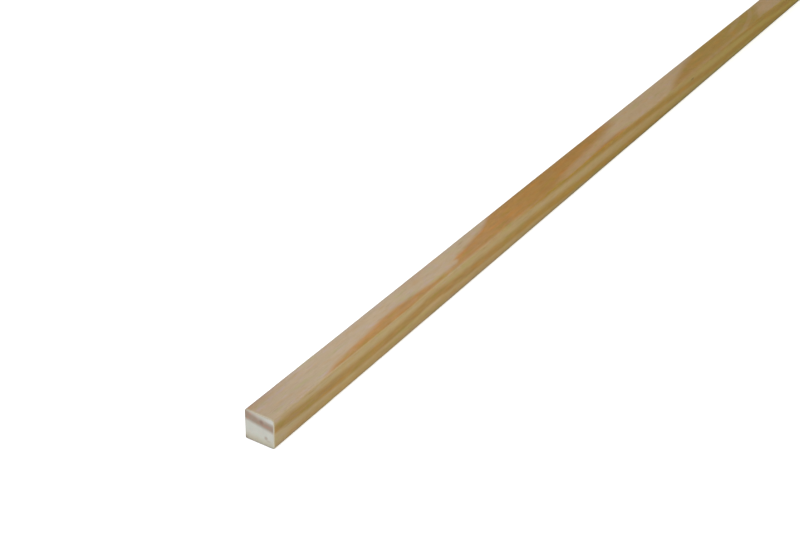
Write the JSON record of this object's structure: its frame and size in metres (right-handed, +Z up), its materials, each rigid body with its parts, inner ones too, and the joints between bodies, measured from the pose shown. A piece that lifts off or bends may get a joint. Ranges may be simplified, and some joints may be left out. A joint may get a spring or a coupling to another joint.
{
  "type": "square wood strip",
  "caption": "Straight length of planed pine with a square section, lightly eased long arrises and square-sawn ends, for trim, edging, frames and model making.",
  "frame": {"origin": "middle of the underside, on the plane the strip lies on", "axes": "+X along the length, from the end nearest the camera in the picture to the far end; +Z up out of the upper face; +Y across the strip, away from the side seen in the picture"},
  "size_m": [1, 0.01, 0.01],
  "materials": {
    "pine": "planed bare pine, matt, with bands of pale earlywood and orange-brown latewood; the ends are sawn"
  },
  "bodies": {
    "root": {"square_strip": "pine"}
  },
  "joints": []
}
